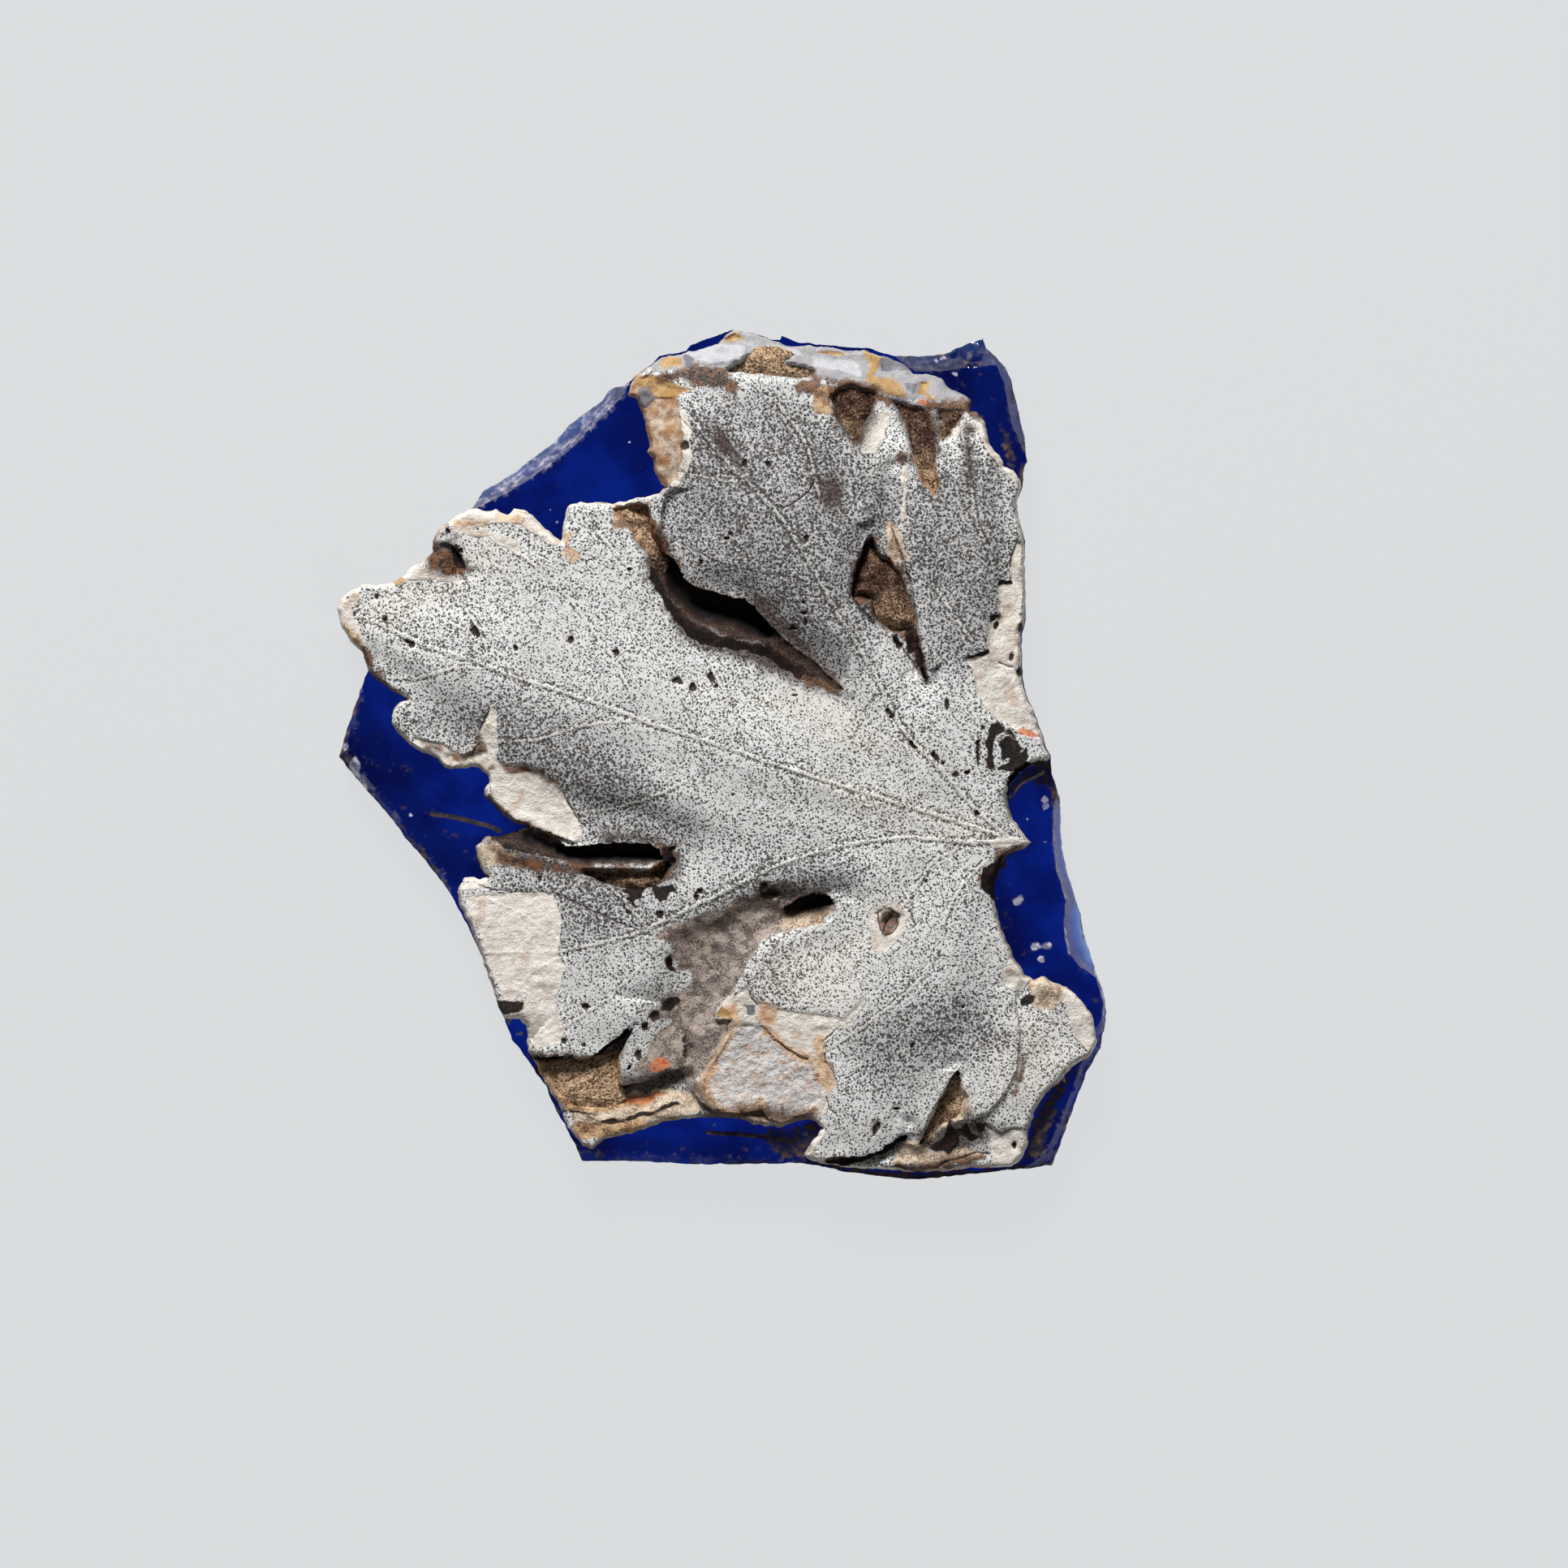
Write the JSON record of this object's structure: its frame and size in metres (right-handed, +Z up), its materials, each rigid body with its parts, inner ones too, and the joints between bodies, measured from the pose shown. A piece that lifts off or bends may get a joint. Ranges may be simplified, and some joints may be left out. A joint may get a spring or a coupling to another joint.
{
  "type": "cameo glass fragment",
  "caption": "Flat broken piece of cameo glass: a weathered white vine leaf carved in relief on a translucent blue glass ground, with soil caked in its hollows.",
  "frame": {"origin": "on the flat underside, below the middle of the fragment's bounding box", "axes": "+Z up out of the leaf's face, +Y towards the break above the upper lobe, the longest extent, +X towards the side where the leaf's stalk ends"},
  "size_m": [0.0544, 0.06, 0.007],
  "materials": {
    "blue_glass": "translucent cobalt blue glass, smooth, with glossy broken faces and specks of dirt",
    "white_glass": "opaque white glass, weathered to a matt grey-white skin with dark pinprick pits; cream and rough where flakes are lost",
    "soil": "dry, gritty brown soil"
  },
  "bodies": {
    "root": {"blue_glass_ground": "blue_glass", "white_glass_leaf": "white_glass", "soil_top_notch_left": "soil", "soil_top_notch_middle": "soil", "soil_top_notch_right": "soil", "soil_top_break": "soil", "soil_left_of_upper_lobe": "soil", "soil_between_lobes": "soil", "soil_under_left_lobe": "soil", "soil_lower_left_corner": "soil", "soil_bottom_notch": "soil"}
  },
  "joints": []
}
